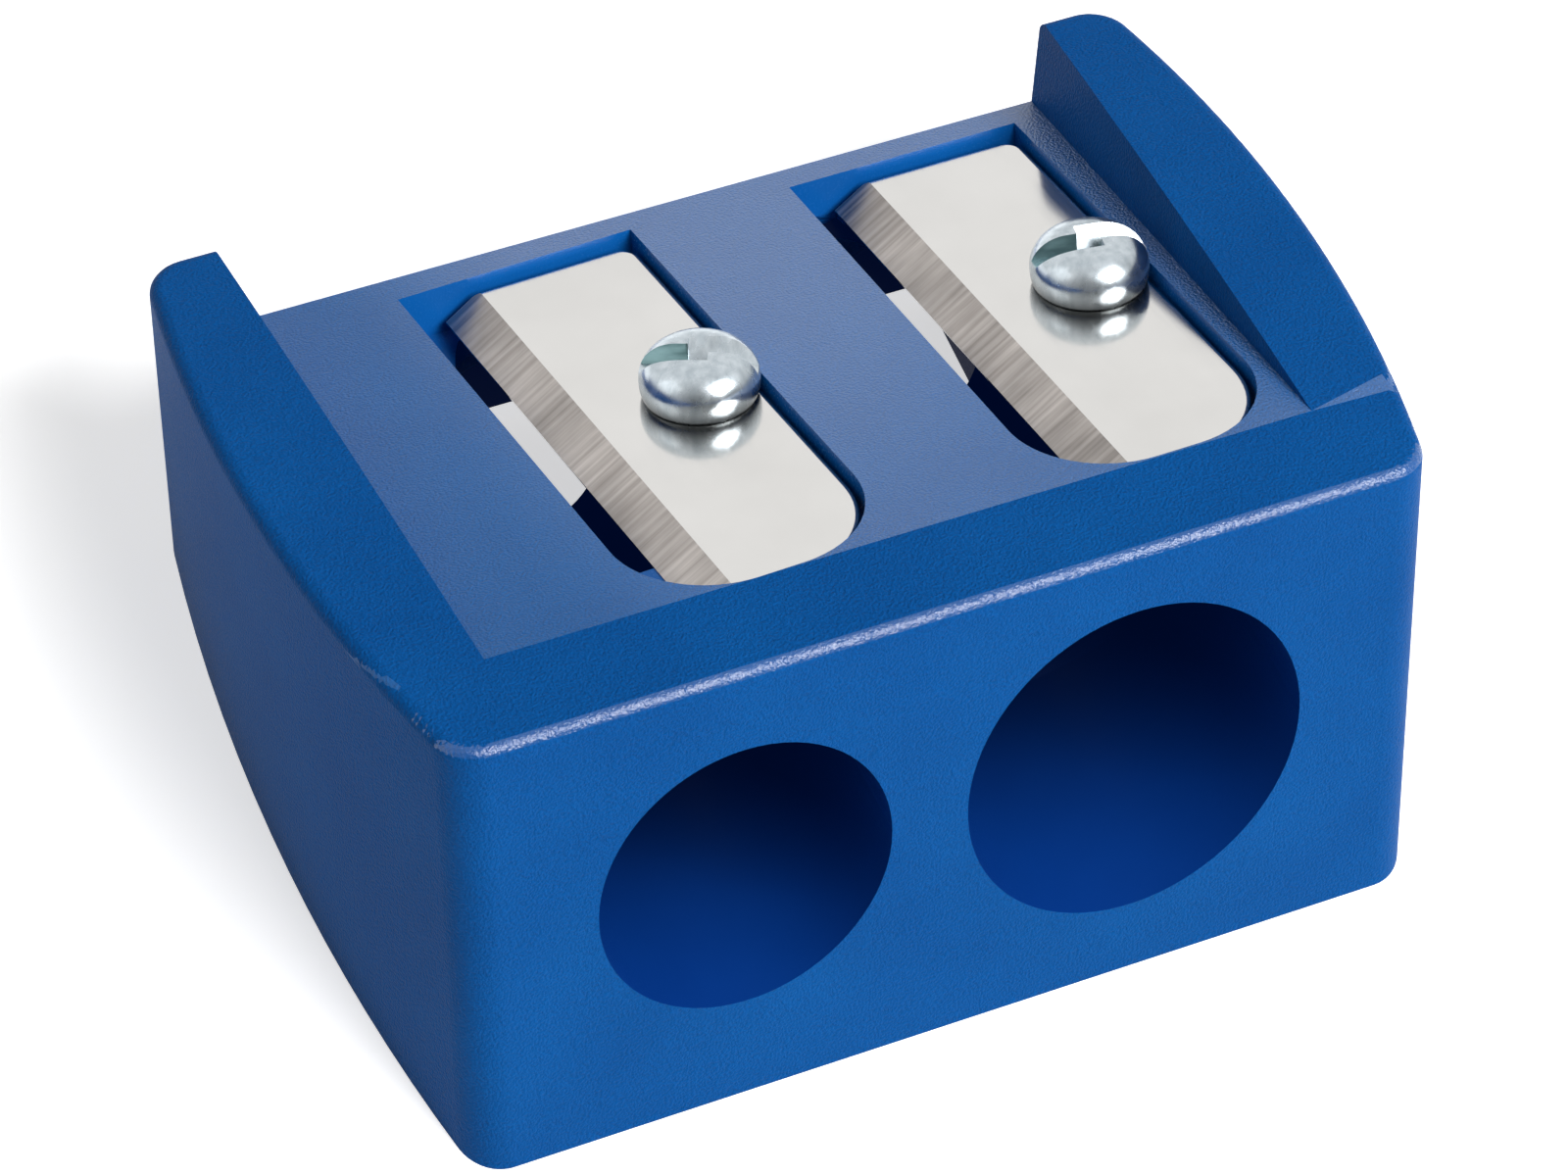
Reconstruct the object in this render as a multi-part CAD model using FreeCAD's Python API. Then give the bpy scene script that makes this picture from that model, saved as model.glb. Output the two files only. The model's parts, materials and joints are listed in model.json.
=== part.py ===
import FreeCAD, Part
import math
import os

from FreeCAD import Placement, Rotation, Vector

# Two-hole hand pencil sharpener: one moulded body, two ground blades, two slotted screws.
# Everything is drawn with the front face upright at y = 0, x = 0 on the middle of the body
# and z = 0 at the height of the small bore's mouth. Then it is laid on its flat underside.

# Body, outside
BODY_DEPTH = 28.1
FRONT_HALF_WIDTH = 19.2
MIDDLE_HALF_WIDTH = 21.25
BACK_HALF_WIDTH = 20.1
UPRIGHT_CORNER_RADIUS = 1.7
FRONT_BOTTOM_Z = -10.55
UNDERSIDE_RISE = 20.9
TOP_FRONT_Z = 9.5
TOP_MIDDLE_Z = 11.25
TOP_BACK_Z = 12.45
TOP_EDGE_RADIUS = 0.5

# Deck sunk between the two side fins
DECK_FRONT_Z = 10.3
DECK_FALL = 3.35
DECK_HALF_WIDTH_FRONT = 16.35
DECK_HALF_WIDTH_BACK = 16.95
FIN_DRAFT = 5.3

# Pencil bores and their cones
SMALL_BORE_RADIUS = 5.8
SMALL_BORE_X = -8.35
SMALL_BORE_Z = 0.0
LARGE_BORE_RADIUS = 6.85
LARGE_BORE_X = 7.35
LARGE_BORE_Z = -0.3
CONE_HALF_ANGLE = 18.5
CONE_TIP_RADIUS = 0.5
EDGE_BITE = 0.15

# Hollow under each cone tip, open below and through the foot of the back wall
HOLLOW_HALF_WIDTH = 5.1
HOLLOW_FRONT_Y = 19.4
HOLLOW_ROOF = 1.2
BACK_WALL = 1.2
BACK_WALL_FOOT_Z = 2.2

# Blades, measured from the screw axis
BLADE_THICKNESS = 1.0
BLADE_RECESS = 0.45
BLADE_TO_RIGHT_EDGE = 2.15
BLADE_TO_CUTTING_EDGE = 5.75
BLADE_TO_BACK = 10.45
BLADE_TO_FRONT = 11.85
BEVEL_WIDTH = 1.45
CUTTING_EDGE_LAND = 0.05
BLADE_BACK_CORNER = 0.8
BLADE_FRONT_CORNER = 4.0
BLADE_HEEL_CORNER = 1.5
BLADE_EDGE_RADIUS = 0.25
SMALL_BLADE_YAW = 2.0
LARGE_BLADE_YAW = 0.6

# Pockets
POCKET_CLEARANCE = 0.15
POCKET_BACK_CLEARANCE = 0.35
POCKET_FRONT_CORNER = 4.0
SHAVING_GAP = 1.75
SLOT_UNDER_BEVEL = 0.4
SLOT_END_DEPTH = 0.6

# Screws
SMALL_SCREW_X = -2.75
LARGE_SCREW_X = 13.45
SCREW_Y = 16.15
SCREW_RADIUS = 1.25
SCREW_GRIP = 5.5
SCREW_POINT = 1.0
SCREW_POINT_RADIUS = 0.6
SCREW_HOLE_CLEARANCE = 0.05
SCREW_HOLE_SPARE_DEPTH = 0.4
BLADE_HOLE_CLEARANCE = 0.15
HEAD_RADIUS = 2.28
HEAD_BASE_RADIUS = 2.05
HEAD_TOP_RADIUS = 0.9
HEAD_HEIGHT = 2.05
HEAD_BELLY_Z = 0.75
DRIVE_SLOT_WIDTH = 0.6
DRIVE_SLOT_DEPTH = 1.1
DRIVE_RAMP = 24.0
SMALL_DRIVE_ANGLE = -30.0
LARGE_DRIVE_ANGLE = -14.0

# Room past a face for a cut that goes right through it, and room when edges are picked by place
OVERSHOOT = 1.0
PICK_ROOM = 0.001

SEAT_DEPTH = BLADE_RECESS + BLADE_THICKNESS
BORE_TILT = CONE_HALF_ANGLE - DECK_FALL
X_AXIS = Vector(1, 0, 0)
Y_AXIS = Vector(0, 1, 0)
Z_AXIS = Vector(0, 0, 1)


def tan(degrees):
    return math.tan(math.radians(degrees))


def cos(degrees):
    return math.cos(math.radians(degrees))


def sin(degrees):
    return math.sin(math.radians(degrees))


def deck_z(y):
    return DECK_FRONT_Z - y * tan(DECK_FALL)


def underside_z(y):
    return FRONT_BOTTOM_Z + y * tan(UNDERSIDE_RISE)


def line(start, end):
    return Part.LineSegment(start, end).toShape()


def arc(start, middle, end):
    return Part.Arc(start, middle, end).toShape()


def prism(edges, direction):
    return Part.Face(Part.Wire(edges)).extrude(direction)


def polygon(points):
    return Part.makePolygon(list(points) + [points[0]])


def box(low, high):
    size = high - low
    return Part.makeBox(size.x, size.y, size.z, low)


def rounded_outline(corners):
    """Edges of a closed outline; each corner is a point and its rounding radius."""
    count = len(corners)
    entries = []
    for index, (corner, radius) in enumerate(corners):
        before = (corners[index - 1][0] - corner).normalize()
        after = (corners[(index + 1) % count][0] - corner).normalize()
        if radius == 0:
            entries.append((corner, None, corner))
            continue
        half_turn = before.getAngle(after) / 2
        setback = radius / math.tan(half_turn)
        bisector = (before + after).normalize()
        middle = corner + bisector * (radius / math.sin(half_turn) - radius)
        entries.append((corner + before * setback, middle, corner + after * setback))
    edges = []
    for index, (start, middle, end) in enumerate(entries):
        if middle is not None:
            edges.append(arc(start, middle, end))
        edges.append(line(end, entries[(index + 1) % count][0]))
    return edges


def outer_block():
    """Plan outline with bowed sides, cut to the wedge-shaped side profile."""
    half_depth = BODY_DEPTH / 2
    low = FRONT_BOTTOM_Z - OVERSHOOT
    front_left = Vector(-FRONT_HALF_WIDTH, 0, low)
    front_right = Vector(FRONT_HALF_WIDTH, 0, low)
    back_left = Vector(-BACK_HALF_WIDTH, BODY_DEPTH, low)
    back_right = Vector(BACK_HALF_WIDTH, BODY_DEPTH, low)
    plan = [
        line(front_left, front_right),
        arc(front_right, Vector(MIDDLE_HALF_WIDTH, half_depth, low), back_right),
        line(back_right, back_left),
        arc(back_left, Vector(-MIDDLE_HALF_WIDTH, half_depth, low), front_left),
    ]
    column = prism(plan, Vector(0, 0, TOP_BACK_Z - low + OVERSHOOT))
    uprights = [
        edge for edge in column.Edges
        if edge.tangentAt(edge.FirstParameter).cross(Z_AXIS).Length < PICK_ROOM
    ]
    column = column.makeFillet(UPRIGHT_CORNER_RADIUS, uprights)

    side = -MIDDLE_HALF_WIDTH - OVERSHOOT
    back = BODY_DEPTH + OVERSHOOT
    front = -OVERSHOOT
    crown = Part.Circle(
        Vector(side, 0, TOP_FRONT_Z),
        Vector(side, half_depth, TOP_MIDDLE_Z),
        Vector(side, BODY_DEPTH, TOP_BACK_Z),
    )
    crown_drum = prism([crown.toShape()], Vector(-2 * side, 0, 0))
    wedge = prism(
        polygon([
            Vector(side, front, underside_z(front)),
            Vector(side, back, underside_z(back)),
            Vector(side, back, TOP_BACK_Z + OVERSHOOT),
            Vector(side, front, TOP_BACK_Z + OVERSHOOT),
        ]).Edges,
        Vector(-2 * side, 0, 0),
    )
    block = column.common(wedge).common(crown_drum)
    rim = [edge for edge in block.Edges if edge.BoundBox.ZMin > TOP_FRONT_Z - TOP_EDGE_RADIUS]
    return block.makeFillet(TOP_EDGE_RADIUS, rim)


def deck_cut():
    """Everything above the deck between the drafted inner walls of the fins."""
    height = TOP_BACK_Z
    spread = height * tan(FIN_DRAFT)
    flare = (DECK_HALF_WIDTH_BACK - DECK_HALF_WIDTH_FRONT) / BODY_DEPTH
    sections = []
    for y in (-OVERSHOOT, BODY_DEPTH + OVERSHOOT):
        half = DECK_HALF_WIDTH_FRONT + flare * y
        base = deck_z(y)
        sections.append(polygon([
            Vector(-half, y, base),
            Vector(half, y, base),
            Vector(half + spread, y, base + height),
            Vector(-half - spread, y, base + height),
        ]))
    return Part.makeLoft(sections, True, True)


def blade_place(screw_x, yaw):
    """Local frame on the deck: origin on the screw axis, y along the blade to the back."""
    tilt = Rotation(X_AXIS, -DECK_FALL)
    return Placement(Vector(screw_x, SCREW_Y, deck_z(SCREW_Y)), tilt.multiply(Rotation(Z_AXIS, yaw)))


def pocket_cut(place):
    """Pocket for the blade, with room for shavings beside the cutting edge."""
    left = -BLADE_TO_CUTTING_EDGE - SHAVING_GAP
    right = BLADE_TO_RIGHT_EDGE + POCKET_CLEARANCE
    back = BLADE_TO_BACK + POCKET_BACK_CLEARANCE
    front = -BLADE_TO_FRONT - POCKET_CLEARANCE
    outline = rounded_outline([
        (Vector(left, back, -SEAT_DEPTH), 0),
        (Vector(left, front, -SEAT_DEPTH), POCKET_FRONT_CORNER),
        (Vector(right, front, -SEAT_DEPTH), POCKET_FRONT_CORNER),
        (Vector(right, back, -SEAT_DEPTH), 0),
    ])
    cut = prism(outline, Vector(0, 0, SEAT_DEPTH + TOP_BACK_Z))
    cut.Placement = place
    return cut


def seat_gap(bore_z):
    """Distance from the bore's mouth centre to the plane that the cone touches."""
    return (DECK_FRONT_Z - bore_z) * cos(DECK_FALL) - SEAT_DEPTH + EDGE_BITE


def cone_radius_at_mouth(bore_z):
    return seat_gap(bore_z) / cos(CONE_HALF_ANGLE)


def guide_length(radius, bore_z):
    return (cone_radius_at_mouth(bore_z) - radius) / tan(CONE_HALF_ANGLE)


def bore_cut(x, z, radius):
    """Straight guide bore that runs into the cone; its top line lies along the blade."""
    guide = guide_length(radius, z)
    tip = guide_length(CONE_TIP_RADIUS, z)
    start = -radius * tan(BORE_TILT) - OVERSHOOT
    profile = polygon([
        Vector(0, start, 0),
        Vector(radius, start, 0),
        Vector(radius, guide, 0),
        Vector(CONE_TIP_RADIUS, tip, 0),
        Vector(0, tip, 0),
    ])
    cut = Part.Face(profile).revolve(Vector(), Y_AXIS, 360)
    cut.Placement = Placement(Vector(x, 0, z), Rotation(X_AXIS, BORE_TILT))
    return cut


def slot_cut(place, bore_z):
    """Shaving slot from the pocket floor down to the middle of the cone."""
    left = -BLADE_TO_CUTTING_EDGE - SHAVING_GAP
    width = SHAVING_GAP + SLOT_UNDER_BEVEL
    front = -BLADE_TO_FRONT + POCKET_FRONT_CORNER
    back = BLADE_TO_BACK + POCKET_BACK_CLEARANCE
    front_run = (SCREW_Y + front) / cos(BORE_TILT)
    front_depth = seat_gap(bore_z) - front_run * sin(CONE_HALF_ANGLE)
    cut = prism(
        polygon([
            Vector(left, front, OVERSHOOT - SEAT_DEPTH),
            Vector(left, back, OVERSHOOT - SEAT_DEPTH),
            Vector(left, back, -SEAT_DEPTH - SLOT_END_DEPTH),
            Vector(left, front, -SEAT_DEPTH - front_depth),
        ]).Edges,
        Vector(width, 0, 0),
    )
    cut.Placement = place
    return cut


def hollow_cut(x):
    """Hollow behind and under the cone's tip, with the gap below the back wall."""
    left = x - HOLLOW_HALF_WIDTH
    back = BODY_DEPTH - BACK_WALL
    roof_drop = SEAT_DEPTH / cos(DECK_FALL) + HOLLOW_ROOF
    low = FRONT_BOTTOM_Z
    chamber = prism(
        polygon([
            Vector(left, HOLLOW_FRONT_Y, low),
            Vector(left, back, low),
            Vector(left, back, deck_z(back) - roof_drop),
            Vector(left, HOLLOW_FRONT_Y, deck_z(HOLLOW_FRONT_Y) - roof_drop),
        ]).Edges,
        Vector(2 * HOLLOW_HALF_WIDTH, 0, 0),
    )
    gap = box(
        Vector(left, HOLLOW_FRONT_Y, low),
        Vector(x + HOLLOW_HALF_WIDTH, BODY_DEPTH + OVERSHOOT, BACK_WALL_FOOT_Z),
    )
    return chamber.fuse(gap)


def screw_hole_cut(place):
    depth = SCREW_GRIP + SCREW_HOLE_SPARE_DEPTH
    cut = Part.makeCylinder(
        SCREW_RADIUS + SCREW_HOLE_CLEARANCE,
        depth + OVERSHOOT,
        Vector(0, 0, -SEAT_DEPTH - depth),
    )
    cut.Placement = place
    return cut


def make_body(units):
    body = outer_block().cut(deck_cut())
    for bore_x, bore_z, radius, place in units:
        for cut in (
            pocket_cut(place),
            bore_cut(bore_x, bore_z, radius),
            slot_cut(place, bore_z),
            hollow_cut(bore_x),
            screw_hole_cut(place),
        ):
            body = body.cut(cut)
    return body.removeSplitter()


def make_blade(place):
    """Flat blade with one ground bevel down to its cutting edge and one screw hole."""
    left = -BLADE_TO_CUTTING_EDGE
    bottom = -SEAT_DEPTH
    top = -BLADE_RECESS
    outline = rounded_outline([
        (Vector(left, BLADE_TO_BACK, bottom), 0),
        (Vector(left, -BLADE_TO_FRONT, bottom), BLADE_HEEL_CORNER),
        (Vector(BLADE_TO_RIGHT_EDGE, -BLADE_TO_FRONT, bottom), BLADE_FRONT_CORNER),
        (Vector(BLADE_TO_RIGHT_EDGE, BLADE_TO_BACK, bottom), BLADE_BACK_CORNER),
    ])
    blade = prism(outline, Vector(0, 0, BLADE_THICKNESS))
    rim = [
        edge for edge in blade.Edges
        if edge.BoundBox.ZMin > top - PICK_ROOM and edge.BoundBox.XMax > left + BLADE_HEEL_CORNER + PICK_ROOM
    ]
    blade = blade.makeFillet(BLADE_EDGE_RADIUS, rim)
    bevel_run = BEVEL_WIDTH / (BLADE_THICKNESS - CUTTING_EDGE_LAND)
    start = -BLADE_TO_FRONT - OVERSHOOT
    bevel = prism(
        polygon([
            Vector(left, start, bottom + CUTTING_EDGE_LAND),
            Vector(left + BEVEL_WIDTH + bevel_run * OVERSHOOT, start, top + OVERSHOOT),
            Vector(left - OVERSHOOT, start, top + OVERSHOOT),
            Vector(left - OVERSHOOT, start, bottom + CUTTING_EDGE_LAND),
        ]).Edges,
        Vector(0, BLADE_TO_BACK - start + OVERSHOOT, 0),
    )
    hole = Part.makeCylinder(
        SCREW_RADIUS + BLADE_HOLE_CLEARANCE,
        BLADE_THICKNESS + 2 * OVERSHOOT,
        Vector(0, 0, bottom - OVERSHOOT),
    )
    blade = blade.cut(bevel).cut(hole)
    blade.Placement = place
    return blade


def drive_cut(top):
    """Half of the one-way drive: a steep wall to tighten against and a ramp opposite it."""
    floor = top - DRIVE_SLOT_DEPTH
    half_width = DRIVE_SLOT_WIDTH / 2
    reach = HEAD_RADIUS + OVERSHOOT
    return prism(
        polygon([
            Vector(-reach, half_width, floor),
            Vector(-reach, half_width, top + OVERSHOOT),
            Vector(-reach, -reach, top + OVERSHOOT),
            Vector(-reach, -reach, floor + (reach - half_width) * tan(DRIVE_RAMP)),
            Vector(-reach, -half_width, floor),
        ]).Edges,
        Vector(reach, 0, 0),
    )


def make_screw(place, drive_angle):
    """One-way slotted head with a bellied side and a domed crown, on a pointed shank."""
    base = -BLADE_RECESS
    shank_end = -SEAT_DEPTH - SCREW_GRIP
    belly = base + HEAD_BELLY_Z
    top = base + HEAD_HEIGHT
    side_mid = Vector(
        HEAD_BASE_RADIUS + (HEAD_RADIUS - HEAD_BASE_RADIUS) * sin(45),
        0,
        belly - HEAD_BELLY_Z * sin(45),
    )
    crown_mid = Vector(
        HEAD_TOP_RADIUS + (HEAD_RADIUS - HEAD_TOP_RADIUS) * sin(45),
        0,
        belly + (top - belly) * sin(45),
    )
    profile = [
        line(Vector(0, 0, shank_end), Vector(SCREW_POINT_RADIUS, 0, shank_end)),
        line(Vector(SCREW_POINT_RADIUS, 0, shank_end), Vector(SCREW_RADIUS, 0, shank_end + SCREW_POINT)),
        line(Vector(SCREW_RADIUS, 0, shank_end + SCREW_POINT), Vector(SCREW_RADIUS, 0, base)),
        line(Vector(SCREW_RADIUS, 0, base), Vector(HEAD_BASE_RADIUS, 0, base)),
        arc(Vector(HEAD_BASE_RADIUS, 0, base), side_mid, Vector(HEAD_RADIUS, 0, belly)),
        arc(Vector(HEAD_RADIUS, 0, belly), crown_mid, Vector(HEAD_TOP_RADIUS, 0, top)),
        line(Vector(HEAD_TOP_RADIUS, 0, top), Vector(0, 0, top)),
        line(Vector(0, 0, top), Vector(0, 0, shank_end)),
    ]
    screw = Part.Face(Part.Wire(profile)).revolve(Vector(), Z_AXIS, 360)
    for turn in (drive_angle, drive_angle + 180):
        drive = drive_cut(top)
        drive.rotate(Vector(), Z_AXIS, turn)
        screw = screw.cut(drive)
    screw.Placement = place
    return screw


def rest_place(body):
    """Lay the flat underside on z = 0 and centre the body's box over the origin."""
    lay = Placement(Vector(), Rotation(X_AXIS, -UNDERSIDE_RISE))
    lay = lay.multiply(Placement(Vector(0, 0, -FRONT_BOTTOM_Z), Rotation()))
    laid = body.copy()
    laid.Placement = lay
    bounds = laid.optimalBoundingBox(False, False)
    return Placement(Vector(0, -(bounds.YMin + bounds.YMax) / 2, 0), Rotation()).multiply(lay)


def main():
    small_place = blade_place(SMALL_SCREW_X, SMALL_BLADE_YAW)
    large_place = blade_place(LARGE_SCREW_X, LARGE_BLADE_YAW)
    body = make_body([
        (SMALL_BORE_X, SMALL_BORE_Z, SMALL_BORE_RADIUS, small_place),
        (LARGE_BORE_X, LARGE_BORE_Z, LARGE_BORE_RADIUS, large_place),
    ])
    pieces = {
        "body": body,
        "small_blade": make_blade(small_place),
        "small_screw": make_screw(small_place, SMALL_DRIVE_ANGLE),
        "large_blade": make_blade(large_place),
        "large_screw": make_screw(large_place, LARGE_DRIVE_ANGLE),
    }
    rest = rest_place(body)
    os.makedirs("parts", exist_ok=True)
    for name, shape in pieces.items():
        shape.Placement = rest.multiply(shape.Placement)
        shape.exportStep("parts/" + name + ".step")
        solids = len(shape.Solids)
        print(name, "solids", solids, "valid", shape.isValid(), "volume", round(shape.Volume, 2))


main()
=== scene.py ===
import json
import math

import bmesh
import bpy
from mathutils import Matrix, Vector


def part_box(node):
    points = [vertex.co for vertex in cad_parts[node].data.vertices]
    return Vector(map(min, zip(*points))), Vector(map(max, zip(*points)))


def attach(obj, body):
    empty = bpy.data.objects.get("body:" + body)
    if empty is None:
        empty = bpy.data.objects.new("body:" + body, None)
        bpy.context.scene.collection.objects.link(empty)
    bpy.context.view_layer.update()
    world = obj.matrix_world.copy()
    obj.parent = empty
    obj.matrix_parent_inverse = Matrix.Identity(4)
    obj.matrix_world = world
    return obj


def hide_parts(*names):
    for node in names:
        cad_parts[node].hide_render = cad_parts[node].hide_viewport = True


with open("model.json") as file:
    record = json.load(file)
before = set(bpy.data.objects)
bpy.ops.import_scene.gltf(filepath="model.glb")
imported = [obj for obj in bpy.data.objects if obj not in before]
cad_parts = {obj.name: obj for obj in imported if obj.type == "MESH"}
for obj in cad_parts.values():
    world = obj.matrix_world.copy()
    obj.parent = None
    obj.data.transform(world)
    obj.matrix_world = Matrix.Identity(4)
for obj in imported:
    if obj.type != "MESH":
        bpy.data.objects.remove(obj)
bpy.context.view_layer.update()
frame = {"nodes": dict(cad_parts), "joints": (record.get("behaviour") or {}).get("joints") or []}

# The sharpener lies on its underside. Places on it are easier to say in its upright frame, in metres:
# front face upright at y = 0, x = 0 in the middle, z = 0 at the height of the small bore's mouth.
UNDERSIDE_RISE = math.radians(20.9)
FRONT_BOTTOM = -0.01055
BODY_DEPTH = 0.0281
DECK_FRONT = 0.0103
DECK_FALL = math.radians(3.35)
DECK_HALF_WIDTH = 0.0161
STRIP_DEPTH = 0.004
STRIP_FOOT = 0.0088
POCKET_DEPTH = 0.0045

# Each pencil bore: its axis at the front face, across and up, and its radius. Both lean back alike.
SMALL_BORE = (-0.00835, 0, 0.0058)
LARGE_BORE = (0.00735, -0.0003, 0.00685)
BORE_TILT = math.radians(15.15)

# Finishes of the body, and how closely a face has to keep to a place or a direction to get one
GRAINED, POCKET, BORE, RUBBED, DECK = range(5)
FACE_TOLERANCE = 0.00006
ASIDE_TOLERANCE = 0.1
RUBBED_LEAN = 0.3

# Finishes of a blade. The bevel faces left, and partly along the deck's normal.
FLAT, BEVEL = range(2)
BEVEL_LEAST_UP = 0.7
BEVEL_MOST_UP = 0.95
BEVEL_LEFTWARDS = 0.3

# Finishes of a screw
PLATE, DRIVE_WALL = range(2)

# Rounding of sharp edges, and the distance within which points are one
EDGE_ANGLE = math.radians(35)
EDGE_SEGMENTS = 2
MOULDED_EDGE = 0.00012
STRUCK_EDGE = 0.0001
WELD_ROOM = 0.000002

# Camera, in the upright frame, as the photograph was taken on a 1600 x 1200 image
IMAGE_WIDTH = 1600
FOCAL_PIXELS = 6465.8
SENSOR_WIDTH = 36.0
CAMERA_PLACE = Vector((-0.07652, -0.15591, 0.15213))
CAMERA_AZIMUTH = math.radians(-24.125)
CAMERA_ELEVATION = math.radians(39.195)
CAMERA_ROLL = math.radians(-0.965)
CAMERA_NEAREST = 0.01

# Blue of the moulding, a painted glow that stands in for light coming through it, and its grain
BLUE_DARK = (0.0028, 0.080, 0.300)
BLUE_LIGHT = (0.0034, 0.094, 0.340)
BLUE_PAINTED_GLOW = (0.0, 0.0022, 0.016)
CLOUD_SCALE = 160
GRAIN_SCALE = 9500
GRAIN_HEIGHT = 0.00008
GRAIN_ROUGHNESS = 0.06
SPECKLE = 0.25

# The deck's sheen grows to the right and to the back, in the frame that the sharpener rests in
PLAIN_DECK_X = -0.0135
SHEEN_DECK_X = -0.004
LEFT_SHEEN = 0.4
DULL_DECK_Y = -0.009
BRIGHT_DECK_Y = 0.012
FRONT_SHEEN = 0.67
SHEEN_IOR = 2.06
# The deck's blue is a lighter, greener copy of the moulding's, painting part of its sheen into the
# colour
DECK_SHEEN_TONE = (1.1, 1.32, 1.2)
DECK_GLOSS = 0.02
DECK_ROUGHNESS = 0.4

# The bores carry painted shade: a darker copy of the moulding's blue that darkens further inwards, in
# the frame that the sharpener rests in
BORE_MOUTH_Y = -0.016
BORE_DEEP_Y = -0.004
BORE_DEEP_SHADE = 0.12
BORE_SHADE_TONE = (0.5, 0.36, 0.6)

# Metals: the two ends of their colours, shades and roughness
FLAT_COLOURS = ((0.71, 0.70, 0.68), (0.75, 0.74, 0.72))
FLAT_ROUGHNESS = (0.10, 0.17)
BEVEL_COLOURS = ((0.34, 0.31, 0.29), (0.56, 0.52, 0.49))
BEVEL_SHADES = (0.65, 1.1)
BEVEL_ROUGHNESS = (0.3, 0.45)
ZINC_COLOURS = ((0.45, 0.51, 0.55), (0.62, 0.68, 0.72))
ZINC_ROUGHNESS = (0.22, 0.32)
# The drive's steep wall is painted dark teal, which paints the shade in the slot
DRIVE_SHADE_COLOURS = ((0.04, 0.085, 0.09), (0.16, 0.26, 0.27))
DRIVE_ROUGHNESS = (0.35, 0.6)
# Painted shade on the zinc near the seat, where the heads meet the deck: its level and reach
FOOT_SHADE_LEVEL = 0.15
FOOT_SHADE_HEIGHT = 0.0009

# Thread of the screws, measured from under the head along the axis
THREAD_PITCH = 0.001
THREAD_STEPS = 32
THREAD_TOP = -0.0012
THREAD_FOOT = -0.0061
THREAD_ROOT = 0.00085
THREAD_CREST = 0.00127
THREAD_HALF_WIDTH = 0.0003

# Shank and head of the screws, measured from under the head along the axis
CORE_RADIUS = 0.001
SHANK_FOOT = -0.0065
SHANK_POINT = 0.001
SHANK_TIP_RADIUS = 0.0006
NECK_RADIUS = 0.00125
NECK_FOOT = -0.001
HEAD_RADIUS = 0.00228
HEAD_BASE_RADIUS = 0.00205
HEAD_TOP_RADIUS = 0.0009
HEAD_HEIGHT = 0.00205
HEAD_BELLY = 0.00075
HEAD_STEPS = 10
TURN_STEPS = 96

# Drive in the head, and how far it is turned in each screw
DRIVE_HALF_WIDTH = 0.00028
DRIVE_DEPTH = 0.0009
DRIVE_SLOPE = math.radians(60)
DRIVE_PAST_AXIS = 0.0004
SMALL_DRIVE = math.radians(-28)
LARGE_DRIVE = math.radians(-11)

# Noise keeps mostly between these levels, so ramps over it end there
RAMP_START = 0.3
RAMP_END = 0.7

# Sockets of a colour mix node, which has others of the same names for numbers and vectors
MIX_COLOUR_A = 6
MIX_COLOUR_B = 7
MIX_COLOUR_RESULT = 2

# Light: white behind the object for mirrors, dim in front of it, and a low fill for all else
WHITE = (1, 1, 1, 1)
FILL_LEVEL = 0.13
ROOM_DIM = 0.2
ROOM_FRONT_Y = -0.7
ROOM_BACK_Y = 0.3
FLOOR_HALF = 2.0
FLOOR_COLOUR = (0.8, 0.8, 0.8, 1)
FLOOR_ROUGHNESS = 0.9
FLOOR_LIFT = 0.62
LAMP_AIM = Vector((0, 0, 0.01))

body_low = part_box("body")[0]
UPRIGHT_TO_REST = (
    Matrix.Translation((0, body_low.y, 0))
    @ Matrix.Rotation(-UNDERSIDE_RISE, 4, "X")
    @ Matrix.Translation((0, 0, -FRONT_BOTTOM))
)
REST_TO_UPRIGHT = UPRIGHT_TO_REST.inverted()


def node_adder(tree):
    """A function that adds a node of some kind to the tree, with its settings."""
    def add(kind, **settings):
        node = tree.nodes.new(kind)
        for key, value in settings.items():
            setattr(node, key, value)
        return node

    return add


def node_material(name):
    """A new material with its node tree, Principled shader and node adder."""
    material = bpy.data.materials.new(name)
    material.use_nodes = True
    tree = material.node_tree
    return material, tree, tree.nodes["Principled BSDF"], node_adder(tree)


def set_inputs(node, values):
    """Set inputs of a node to fixed values."""
    for key, value in values.items():
        node.inputs[key].default_value = value


def noise(tree, add, scale, detail, stretch=(1, 1, 1)):
    """Noise drawn out by the stretch across the deck, along it and through it."""
    coordinates = add("ShaderNodeTexCoord")
    mapping = add("ShaderNodeMapping", vector_type="TEXTURE")
    set_inputs(mapping, {"Rotation": (-UNDERSIDE_RISE - DECK_FALL, 0, 0), "Scale": stretch})
    texture = add("ShaderNodeTexNoise")
    set_inputs(texture, {"Scale": scale, "Detail": detail})
    tree.links.new(coordinates.outputs["Object"], mapping.inputs["Vector"])
    tree.links.new(mapping.outputs["Vector"], texture.inputs["Vector"])
    return texture.outputs["Fac"]


def ramp(tree, add, source, colours):
    """Colours between two ends, by the level of the source."""
    node = add("ShaderNodeValToRGB")
    ends = node.color_ramp.elements
    for end, colour in zip(ends, colours):
        end.color = (*colour, 1)
    ends[0].position = RAMP_START
    ends[1].position = RAMP_END
    tree.links.new(source, node.inputs["Fac"])
    return node.outputs["Color"]


def grey(level):
    return (level, level, level)


def grey_ramp(tree, add, source, levels):
    """Greys between two ends, by the level of the source."""
    return ramp(tree, add, source, [grey(level) for level in levels])


def bump(tree, add, source, strength, distance):
    """Relief with the source as its height."""
    node = add("ShaderNodeBump")
    set_inputs(node, {"Strength": strength, "Distance": distance})
    tree.links.new(source, node.inputs["Height"])
    return node.outputs["Normal"]


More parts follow.
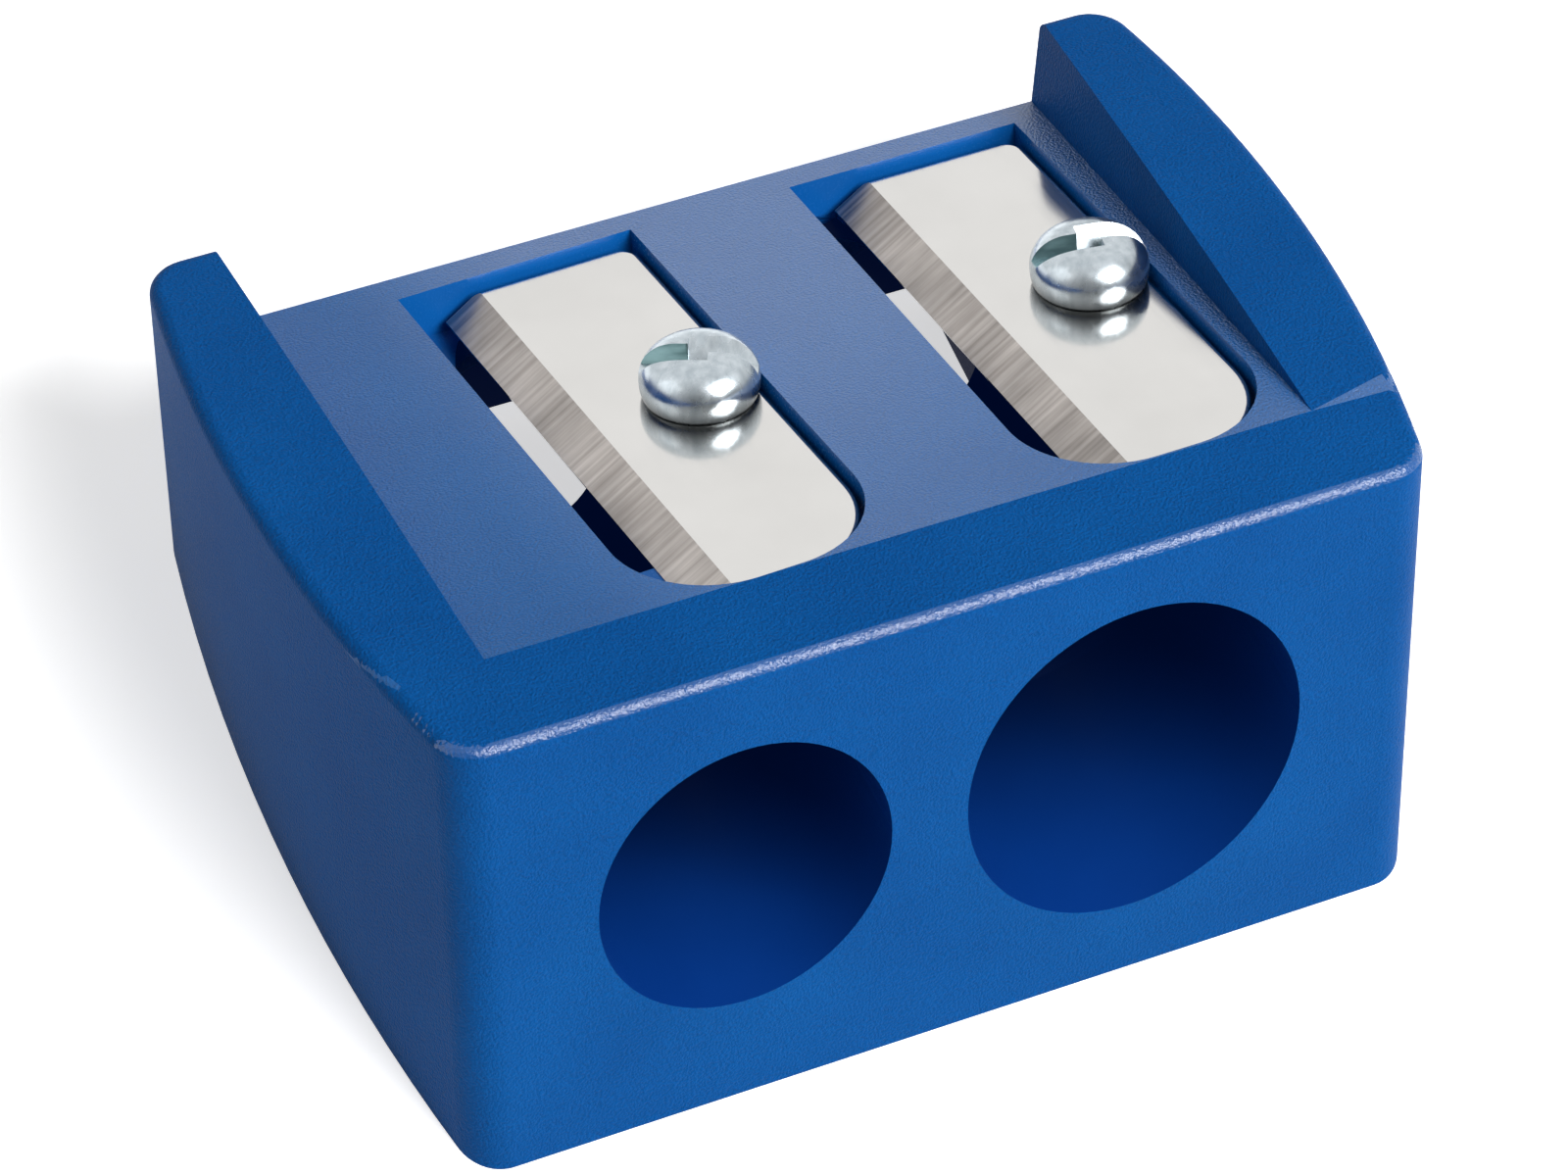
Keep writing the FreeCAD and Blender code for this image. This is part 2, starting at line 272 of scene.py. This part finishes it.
def multiply(tree, add, first, second):
    """Product of two colours."""
    product = add("ShaderNodeMix", data_type="RGBA", blend_type="MULTIPLY")
    set_inputs(product, {"Factor": 1.0})
    tree.links.new(first, product.inputs[MIX_COLOUR_A])
    tree.links.new(second, product.inputs[MIX_COLOUR_B])
    return product.outputs[MIX_COLOUR_RESULT]


def smooth_run(tree, add, source, start, end, at_start, at_end):
    """A level that runs smoothly between two values while the source runs from start to end."""
    run = add("ShaderNodeMapRange", interpolation_type="SMOOTHSTEP")
    set_inputs(run, {"From Min": start, "From Max": end, "To Min": at_start, "To Max": at_end})
    tree.links.new(source, run.inputs["Value"])
    return run.outputs["Result"]


def along(tree, add, axis, start, end, at_start, at_end):
    """A level that runs smoothly between two places along an axis of the object."""
    coordinates = add("ShaderNodeTexCoord")
    split = add("ShaderNodeSeparateXYZ")
    tree.links.new(coordinates.outputs["Object"], split.inputs["Vector"])
    return smooth_run(tree, add, split.outputs[axis], start, end, at_start, at_end)


def surface(tree, shader, colour, rough, relief):
    """Give the shader its colour, roughness and relief."""
    tree.links.new(colour, shader.inputs["Base Color"])
    tree.links.new(rough, shader.inputs["Roughness"])
    tree.links.new(relief, shader.inputs["Normal"])


def plastic(name, tone, gloss, roughness, grain_depth):
    """Blue moulding: tone scales its colour, and the grain is that of a spark-eroded mould."""
    material, tree, shader, add = node_material(name)
    grain = noise(tree, add, GRAIN_SCALE, detail=2.0)
    cloud = noise(tree, add, CLOUD_SCALE, detail=3.0)
    blues = [
        tuple(level * share for level, share in zip(blue, tone))
        for blue in (BLUE_DARK, BLUE_LIGHT)
    ]
    colour = ramp(tree, add, cloud, blues)
    speckle = grey_ramp(tree, add, grain, (1 - SPECKLE * grain_depth, 1.0))
    rough = grey_ramp(tree, add, grain, (roughness - GRAIN_ROUGHNESS, roughness + GRAIN_ROUGHNESS))
    relief = bump(tree, add, grain, strength=grain_depth, distance=GRAIN_HEIGHT)
    set_inputs(shader, {"Specular IOR Level": gloss})
    surface(tree, shader, multiply(tree, add, colour, speckle), rough, relief)
    return material


def deck_plastic():
    """The deck: scuffed to a sheen between and beside the blades, and plainer at the left and front; its
    blue is a lighter copy that paints part of the sheen.
    """
    material = plastic("body_deck", DECK_SHEEN_TONE, DECK_GLOSS, DECK_ROUGHNESS, grain_depth=1.0)
    tree = material.node_tree
    add = node_adder(tree)
    shader = tree.nodes["Principled BSDF"]
    across = along(tree, add, "X", PLAIN_DECK_X, SHEEN_DECK_X, LEFT_SHEEN, 1.0)
    backwards = along(tree, add, "Y", DULL_DECK_Y, BRIGHT_DECK_Y, FRONT_SHEEN, 1.0)
    sheen = add("ShaderNodeMath", operation="MULTIPLY")
    tree.links.new(across, sheen.inputs[0])
    tree.links.new(backwards, sheen.inputs[1])
    tree.links.new(sheen.outputs["Value"], shader.inputs["Coat Weight"])
    grain = shader.inputs["Normal"].links[0].from_socket
    tree.links.new(grain, shader.inputs["Coat Normal"])
    set_inputs(shader, {"Coat Roughness": DECK_ROUGHNESS, "Coat IOR": SHEEN_IOR})
    return material


def bore_plastic():
    """Bores and cones: a darker blue with painted shade that deepens inwards, and a painted glow for a
    little light through the moulding.
    """
    material = plastic("body_bore", BORE_SHADE_TONE, gloss=0.06, roughness=0.4, grain_depth=0.05)
    tree = material.node_tree
    add = node_adder(tree)
    shader = tree.nodes["Principled BSDF"]
    wall = shader.inputs["Base Color"].links[0].from_socket
    # Painted shade: the wall's colour darkens from the mouth of the bore inwards
    inward_shade = along(tree, add, "Y", BORE_MOUTH_Y, BORE_DEEP_Y, 1.0, BORE_DEEP_SHADE)
    tree.links.new(multiply(tree, add, wall, inward_shade), shader.inputs["Base Color"])
    # Painted glow: the bores give off a little blue of their own, standing in for light through the
    # moulding
    set_inputs(shader, {"Emission Color": (*BLUE_PAINTED_GLOW, 1), "Emission Strength": 1.0})
    return material


def polished_steel():
    """Flat of the blade: polished, with faint fine scratches along it."""
    material, tree, shader, add = node_material("blade_flat")
    scratches = noise(tree, add, scale=2500, detail=3.0, stretch=(1, 25, 1))
    cloud = noise(tree, add, scale=260, detail=3.0)
    colour = ramp(tree, add, cloud, FLAT_COLOURS)
    rough = grey_ramp(tree, add, scratches, FLAT_ROUGHNESS)
    relief = bump(tree, add, scratches, strength=0.03, distance=0.00001)
    set_inputs(shader, {"Metallic": 1.0})
    surface(tree, shader, colour, rough, relief)
    return material


def ground_steel():
    """Ground bevel of the blade: grinding lines across it to the edge, in lighter and darker patches."""
    material, tree, shader, add = node_material("blade_bevel")
    lines = noise(tree, add, scale=4200, detail=3.0, stretch=(30, 1, 30))
    patches = noise(tree, add, scale=420, detail=4.0, stretch=(2, 1, 2))
    colour = ramp(tree, add, lines, BEVEL_COLOURS)
    shade = grey_ramp(tree, add, patches, BEVEL_SHADES)
    rough = grey_ramp(tree, add, lines, BEVEL_ROUGHNESS)
    relief = bump(tree, add, lines, strength=0.25, distance=0.00002)
    set_inputs(shader, {"Metallic": 1.0})
    surface(tree, shader, multiply(tree, add, colour, shade), rough, relief)
    return material


def screw_seat(node):
    """Direction of a screw's axis, and the point on it that the head sits at."""
    turning = next(joint for joint in frame["joints"] if joint["name"] == node + "_turn")
    return Vector(turning["axis"]).normalized(), Vector(turning["pos_m"])


def zinc_plate():
    """Bright zinc plate of the screws: fine draw lines, small dents and painted shade round the head's
    foot.
    """
    material, tree, shader, add = node_material("screw_zinc_plate")
    lines = noise(tree, add, scale=3000, detail=3.0, stretch=(1, 1, 8))
    dents = noise(tree, add, scale=1500, detail=2.0)
    colour = ramp(tree, add, lines, ZINC_COLOURS)
    rough = grey_ramp(tree, add, dents, ZINC_ROUGHNESS)
    relief = bump(tree, add, lines, strength=0.12, distance=0.00002)
    # Both screws sit on the deck's plane, so the small one's seat gives the height for both
    axis, seat = screw_seat("small_screw")
    coordinates = add("ShaderNodeTexCoord")
    height = add("ShaderNodeVectorMath", operation="DOT_PRODUCT")
    above_seat = add("ShaderNodeMath", operation="SUBTRACT")
    from_seat = add("ShaderNodeMath", operation="ABSOLUTE")
    set_inputs(height, {1: axis})
    set_inputs(above_seat, {1: axis.dot(seat)})
    tree.links.new(coordinates.outputs["Object"], height.inputs[0])
    tree.links.new(height.outputs["Value"], above_seat.inputs[0])
    tree.links.new(above_seat.outputs["Value"], from_seat.inputs[0])
    # Painted shade: darker within a little of the seat, where the head meets the deck
    foot_shade = smooth_run(tree, add, from_seat.outputs["Value"], 0.0, FOOT_SHADE_HEIGHT, FOOT_SHADE_LEVEL, 1.0)
    set_inputs(shader, {"Metallic": 1.0})
    surface(tree, shader, multiply(tree, add, colour, foot_shade), rough, relief)
    return material


def drive_zinc():
    """Steep wall of the drive: dulled where the tool bears on it, painted dark teal as shade in the
    slot, with smears along the slot.
    """
    material, tree, shader, add = node_material("screw_drive_wall")
    smears = noise(tree, add, scale=1800, detail=3.0, stretch=(3, 3, 1))
    # Painted shade: the wall's dark teal stands for the shade in the slot
    colour = ramp(tree, add, smears, DRIVE_SHADE_COLOURS)
    rough = grey_ramp(tree, add, smears, DRIVE_ROUGHNESS)
    relief = bump(tree, add, smears, strength=0.3, distance=0.00003)
    set_inputs(shader, {"Metallic": 0.8})
    surface(tree, shader, colour, rough, relief)
    return material


def on_bore(centre, normal):
    """Whether a face of the body belongs to a guide or cone, and so looks straight at a bore's axis."""
    inward = Vector((0, math.cos(BORE_TILT), math.sin(BORE_TILT)))
    for across, up, radius in (SMALL_BORE, LARGE_BORE):
        offset = centre - Vector((across, 0, up))
        outward = offset - inward * offset.dot(inward)
        aside = inward.cross(outward.normalized())
        if outward.length < radius + FACE_TOLERANCE and outward.dot(normal) < 0:
            if abs(aside.dot(normal)) < ASIDE_TOLERANCE:
                return True
    return False


def body_finish(face):
    """Which of the body's finishes a face has, by its place and direction in the upright frame."""
    centre = REST_TO_UPRIGHT @ face.center
    normal = REST_TO_UPRIGHT.to_3x3() @ face.normal
    below_deck = DECK_FRONT - centre.y * math.tan(DECK_FALL) - centre.z
    above_underside = centre.z - FRONT_BOTTOM - centre.y * math.tan(UNDERSIDE_RISE)
    in_strip = centre.y < STRIP_DEPTH and centre.z > STRIP_FOOT
    if in_strip and normal.y < -RUBBED_LEAN and normal.z > RUBBED_LEAN:
        return RUBBED
    if abs(below_deck) < FACE_TOLERANCE:
        return DECK
    if abs(centre.x) > DECK_HALF_WIDTH or in_strip:
        return GRAINED
    outside = (centre.y, centre.y - BODY_DEPTH, above_underside)
    if min(abs(distance) for distance in outside) < FACE_TOLERANCE:
        return GRAINED
    if on_bore(centre, normal) or below_deck >= POCKET_DEPTH:
        return BORE
    return POCKET


def blade_finish(face):
    """Which of a blade's finishes a face has, by its direction."""
    deck_normal = UPRIGHT_TO_REST.to_3x3() @ Vector((0, math.sin(DECK_FALL), math.cos(DECK_FALL)))
    faces_up = BEVEL_LEAST_UP < face.normal.dot(deck_normal) < BEVEL_MOST_UP
    return BEVEL if faces_up and face.normal.x < -BEVEL_LEFTWARDS else FLAT


def thread_ridge():
    """Points and faces of a right-hand thread ridge round the z axis, fading out at both ends."""
    steps = round(THREAD_STEPS * (THREAD_TOP - THREAD_FOOT) / THREAD_PITCH)
    points = []
    faces = []
    for step in range(steps + 1):
        turn = 2 * math.pi * step / THREAD_STEPS
        height = THREAD_FOOT + THREAD_PITCH * step / THREAD_STEPS
        fade = min(1, step / THREAD_STEPS, (steps - step) / THREAD_STEPS)
        crest = THREAD_ROOT + (THREAD_CREST - THREAD_ROOT) * fade
        section = [(THREAD_ROOT, -THREAD_HALF_WIDTH), (crest, 0), (THREAD_ROOT, THREAD_HALF_WIDTH)]
        corners = len(section)
        for radius, rise in section:
            points.append((radius * math.cos(turn), radius * math.sin(turn), height + rise))
        if step > 0:
            low = corners * (step - 1)
            high = corners * step
            for side in range(corners):
                after = (side + 1) % corners
                faces.append((low + side, low + after, high + after, high + side))
    last = corners * steps
    return points, faces + [(2, 1, 0), (last, last + 1, last + 2)]


def screw_profile():
    """Half outline of the screw, as radius and height, from the shank's tip to the head's top."""
    outline = [
        (0, SHANK_FOOT),
        (SHANK_TIP_RADIUS, SHANK_FOOT),
        (CORE_RADIUS, SHANK_FOOT + SHANK_POINT),
        (CORE_RADIUS, THREAD_TOP),
        (NECK_RADIUS, NECK_FOOT),
        (NECK_RADIUS, 0),
    ]
    for step in range(HEAD_STEPS + 1):
        turn = math.pi / 2 * step / HEAD_STEPS
        radius = HEAD_BASE_RADIUS + (HEAD_RADIUS - HEAD_BASE_RADIUS) * math.sin(turn)
        outline.append((radius, HEAD_BELLY * (1 - math.cos(turn))))
    for step in range(1, HEAD_STEPS + 1):
        turn = math.pi / 2 * step / HEAD_STEPS
        radius = HEAD_TOP_RADIUS + (HEAD_RADIUS - HEAD_TOP_RADIUS) * math.cos(turn)
        outline.append((radius, HEAD_BELLY + (HEAD_HEIGHT - HEAD_BELLY) * math.sin(turn)))
    return outline + [(0, HEAD_HEIGHT)]


def turned(outline):
    """Points and faces of an outline turned round the z axis."""
    points = []
    faces = []
    for radius, height in outline:
        for step in range(TURN_STEPS):
            turn = 2 * math.pi * step / TURN_STEPS
            points.append((radius * math.cos(turn), radius * math.sin(turn), height))
    for ring in range(len(outline) - 1):
        for step in range(TURN_STEPS):
            low = ring * TURN_STEPS + step
            low_next = ring * TURN_STEPS + (step + 1) % TURN_STEPS
            faces.append((low, low_next, low_next + TURN_STEPS, low + TURN_STEPS))
    return points, faces


def join_seams(mesh):
    """Weld points that share a place, so that rounding and smooth shading run across them."""
    shape = bmesh.new()
    shape.from_mesh(mesh)
    bmesh.ops.remove_doubles(shape, verts=shape.verts, dist=WELD_ROOM)
    bmesh.ops.recalc_face_normals(shape, faces=shape.faces)
    shape.to_mesh(mesh)
    shape.free()


def new_piece(name, points, faces):
    """An object in the scene, with welded seams."""
    mesh = bpy.data.meshes.new(name)
    mesh.from_pydata(points, [], faces)
    join_seams(mesh)
    piece = bpy.data.objects.new(name, mesh)
    bpy.context.scene.collection.objects.link(piece)
    return piece


def drive_half(turn, materials):
    """Cutter for one half of the one-way drive: a steep wall to tighten against, a slope opposite it."""
    floor = HEAD_HEIGHT - DRIVE_DEPTH
    over = HEAD_HEIGHT + DRIVE_DEPTH
    slope_end = -DRIVE_HALF_WIDTH - (over - floor) / math.tan(DRIVE_SLOPE)
    section = [
        (DRIVE_HALF_WIDTH, floor),
        (DRIVE_HALF_WIDTH, over),
        (slope_end, over),
        (-DRIVE_HALF_WIDTH, floor),
    ]
    turning = Matrix.Rotation(turn, 3, "Z")
    points = [
        tuple(turning @ Vector((reach, across, height)))
        for reach in (-2 * HEAD_RADIUS, DRIVE_PAST_AXIS)
        for across, height in section
    ]
    faces = []
    corners = len(section)
    for corner in range(corners):
        after = (corner + 1) % corners
        faces.append((corner, after, after + corners, corner + corners))
    cutter = new_piece("drive", points, faces + [(0, 1, 2, 3), (4, 5, 6, 7)])
    for material in materials:
        cutter.data.materials.append(material)
    steep_wall = cutter.data.polygons[0]
    steep_wall.material_index = DRIVE_WALL
    return cutter


def cut_away(piece, cutter):
    """Take the cutter's volume out of a piece for good."""
    cut = piece.modifiers.new("cut", "BOOLEAN")
    cut.operation = "DIFFERENCE"
    cut.solver = "EXACT"
    cut.material_mode = "TRANSFER"
    cut.object = cutter
    shaped = piece.evaluated_get(bpy.context.evaluated_depsgraph_get())
    piece.data = bpy.data.meshes.new_from_object(shaped)
    piece.modifiers.remove(cut)
    bpy.data.objects.remove(cutter)


def soften_edges(piece, width):
    """Round the sharp edges of a piece a little, as moulding and tumbling leave them."""
    for face in piece.data.polygons:
        face.use_smooth = True
    rounding = piece.modifiers.new("edge rounding", "BEVEL")
    rounding.width = width
    rounding.segments = EDGE_SEGMENTS
    rounding.limit_method = "ANGLE"
    rounding.angle_limit = EDGE_ANGLE
    rounding.harden_normals = True
    rounding.use_clamp_overlap = True


def threaded_screw(size, drive_angle, materials):
    """Screw with a thread wound round its core, in the place of the CAD screw."""
    node = size + "_screw"
    axis, seat = screw_seat(node)
    across = Vector((1, 0, 0))
    upright = Matrix((across, axis.cross(across), axis)).transposed().to_4x4()
    screw = new_piece(node + "_threaded", *turned(screw_profile()))
    screw.data.materials.append(materials[PLATE])
    for turn in (drive_angle, drive_angle + math.pi):
        cut_away(screw, drive_half(turn, materials))
    ridge = new_piece("ridge", *thread_ridge())
    shape = bmesh.new()
    shape.from_mesh(screw.data)
    shape.from_mesh(ridge.data)
    shape.to_mesh(screw.data)
    shape.free()
    bpy.data.objects.remove(ridge)
    screw.data.transform(Matrix.Translation(seat) @ upright)
    soften_edges(screw, STRUCK_EDGE)
    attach(screw, node)
    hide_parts(node)


def dress(node, materials, choose):
    """Give each face of a CAD node the material that choose names for it."""
    mesh = frame["nodes"][node].data
    mesh.materials.clear()
    for material in materials:
        mesh.materials.append(material)
    for face in mesh.polygons:
        face.material_index = choose(face)


def dress_object():
    body_finishes = {
        GRAINED: plastic("body_grained", grey(1.08), gloss=0.03, roughness=0.46, grain_depth=1.0),
        POCKET: plastic("body_pocket", grey(1.15), gloss=0.15, roughness=0.24, grain_depth=0.1),
        BORE: bore_plastic(),
        RUBBED: plastic("body_rubbed_edge", grey(1.0), gloss=0.7, roughness=0.2, grain_depth=0.6),
        DECK: deck_plastic(),
    }
    dress("body", [body_finishes[finish] for finish in sorted(body_finishes)], body_finish)
    soften_edges(frame["nodes"]["body"], MOULDED_EDGE)
    blade_finishes = [polished_steel(), ground_steel()]
    for node in ("small_blade", "large_blade"):
        dress(node, blade_finishes, blade_finish)
    screw_finishes = [zinc_plate(), drive_zinc()]
    threaded_screw("small", SMALL_DRIVE, screw_finishes)
    threaded_screw("large", LARGE_DRIVE, screw_finishes)


def add_camera():
    """Camera at the place that the photograph was taken from."""
    back = Vector((
        math.sin(CAMERA_AZIMUTH) * math.cos(CAMERA_ELEVATION),
        -math.cos(CAMERA_AZIMUTH) * math.cos(CAMERA_ELEVATION),
        math.sin(CAMERA_ELEVATION),
    ))
    right = Vector((0, 0, 1)).cross(back).normalized()
    up = back.cross(right)
    turn = Matrix((right, up, back)).transposed().to_4x4() @ Matrix.Rotation(CAMERA_ROLL, 4, "Z")
    data = bpy.data.cameras.new("camera")
    data.sensor_fit = "HORIZONTAL"
    data.sensor_width = SENSOR_WIDTH
    data.lens = SENSOR_WIDTH * FOCAL_PIXELS / IMAGE_WIDTH
    data.clip_start = CAMERA_NEAREST
    camera = bpy.data.objects.new("camera", data)
    camera.matrix_world = UPRIGHT_TO_REST @ Matrix.Translation(CAMERA_PLACE) @ turn
    bpy.context.scene.collection.objects.link(camera)
    bpy.context.scene.camera = camera


def add_world():
    """White to look at; mirrors see it white behind the object and dim in front; a lower even fill."""
    world = bpy.data.worlds.new("studio")
    bpy.context.scene.world = world
    world.use_nodes = True
    tree = world.node_tree
    add = node_adder(tree)
    background = tree.nodes["Background"]
    direction = add("ShaderNodeTexCoord")
    split = add("ShaderNodeSeparateXYZ")
    mirrored = add("ShaderNodeMapRange")
    set_inputs(mirrored, {
        "From Min": ROOM_FRONT_Y,
        "From Max": ROOM_BACK_Y,
        "To Min": ROOM_DIM,
        "To Max": 1.0,
    })
    tree.links.new(direction.outputs["Generated"], split.inputs["Vector"])
    tree.links.new(split.outputs["Y"], mirrored.inputs["Value"])
    path = add("ShaderNodeLightPath")
    glossy = add("ShaderNodeMix")
    transmitted = add("ShaderNodeMix")
    seen = add("ShaderNodeMix")
    tree.links.new(path.outputs["Is Glossy Ray"], glossy.inputs["Factor"])
    tree.links.new(path.outputs["Is Transmission Ray"], transmitted.inputs["Factor"])
    tree.links.new(path.outputs["Is Camera Ray"], seen.inputs["Factor"])
    set_inputs(glossy, {"A": FILL_LEVEL})
    tree.links.new(glossy.outputs["Result"], transmitted.inputs["A"])
    tree.links.new(transmitted.outputs["Result"], seen.inputs["A"])
    tree.links.new(mirrored.outputs["Result"], glossy.inputs["B"])
    tree.links.new(mirrored.outputs["Result"], transmitted.inputs["B"])
    set_inputs(seen, {"B": 1.0})
    set_inputs(background, {"Color": WHITE})
    tree.links.new(seen.outputs["Result"], background.inputs["Strength"])


def add_floor():
    """Pale floor that takes the shadow and is lifted to white where it is seen, in mirrors too."""
    corners = [
        (-FLOOR_HALF, -FLOOR_HALF, 0),
        (FLOOR_HALF, -FLOOR_HALF, 0),
        (FLOOR_HALF, FLOOR_HALF, 0),
        (-FLOOR_HALF, FLOOR_HALF, 0),
    ]
    mesh = bpy.data.meshes.new("floor")
    mesh.from_pydata(corners, [], [(0, 1, 2, 3)])
    floor = bpy.data.objects.new("floor", mesh)
    bpy.context.scene.collection.objects.link(floor)
    material, tree, shader, add = node_material("floor")
    set_inputs(shader, {
        "Base Color": FLOOR_COLOUR,
        "Roughness": FLOOR_ROUGHNESS,
        "Specular IOR Level": 0.0,
        "Emission Color": WHITE,
    })
    path = add("ShaderNodeLightPath")
    seen = path.outputs["Is Camera Ray"]
    for kind in ("Is Glossy Ray", "Is Transmission Ray"):
        either = add("ShaderNodeMath", operation="MAXIMUM")
        tree.links.new(seen, either.inputs[0])
        tree.links.new(path.outputs[kind], either.inputs[1])
        seen = either.outputs["Value"]
    lift = add("ShaderNodeMath", operation="MULTIPLY")
    set_inputs(lift, {1: FLOOR_LIFT})
    tree.links.new(seen, lift.inputs[0])
    tree.links.new(lift.outputs["Value"], shader.inputs["Emission Strength"])
    mesh.materials.append(material)


def add_softbox(name, place, size, power):
    """Square lamp of a size that faces the object."""
    data = bpy.data.lights.new(name, "AREA")
    data.shape = "RECTANGLE"
    data.size = size
    data.size_y = size
    data.energy = power
    lamp = bpy.data.objects.new(name, data)
    lamp.location = place
    lamp.rotation_euler = (LAMP_AIM - Vector(place)).to_track_quat("-Z", "Y").to_euler()
    bpy.context.scene.collection.objects.link(lamp)


dress_object()
add_camera()
add_world()
add_floor()
add_softbox("key", place=(0.17, -0.24, 0.42), size=0.28, power=3.4)
add_softbox("left", place=(-0.42, 0.1, 0.25), size=0.3, power=0.15)

bpy.context.scene.view_settings.view_transform = "Standard"
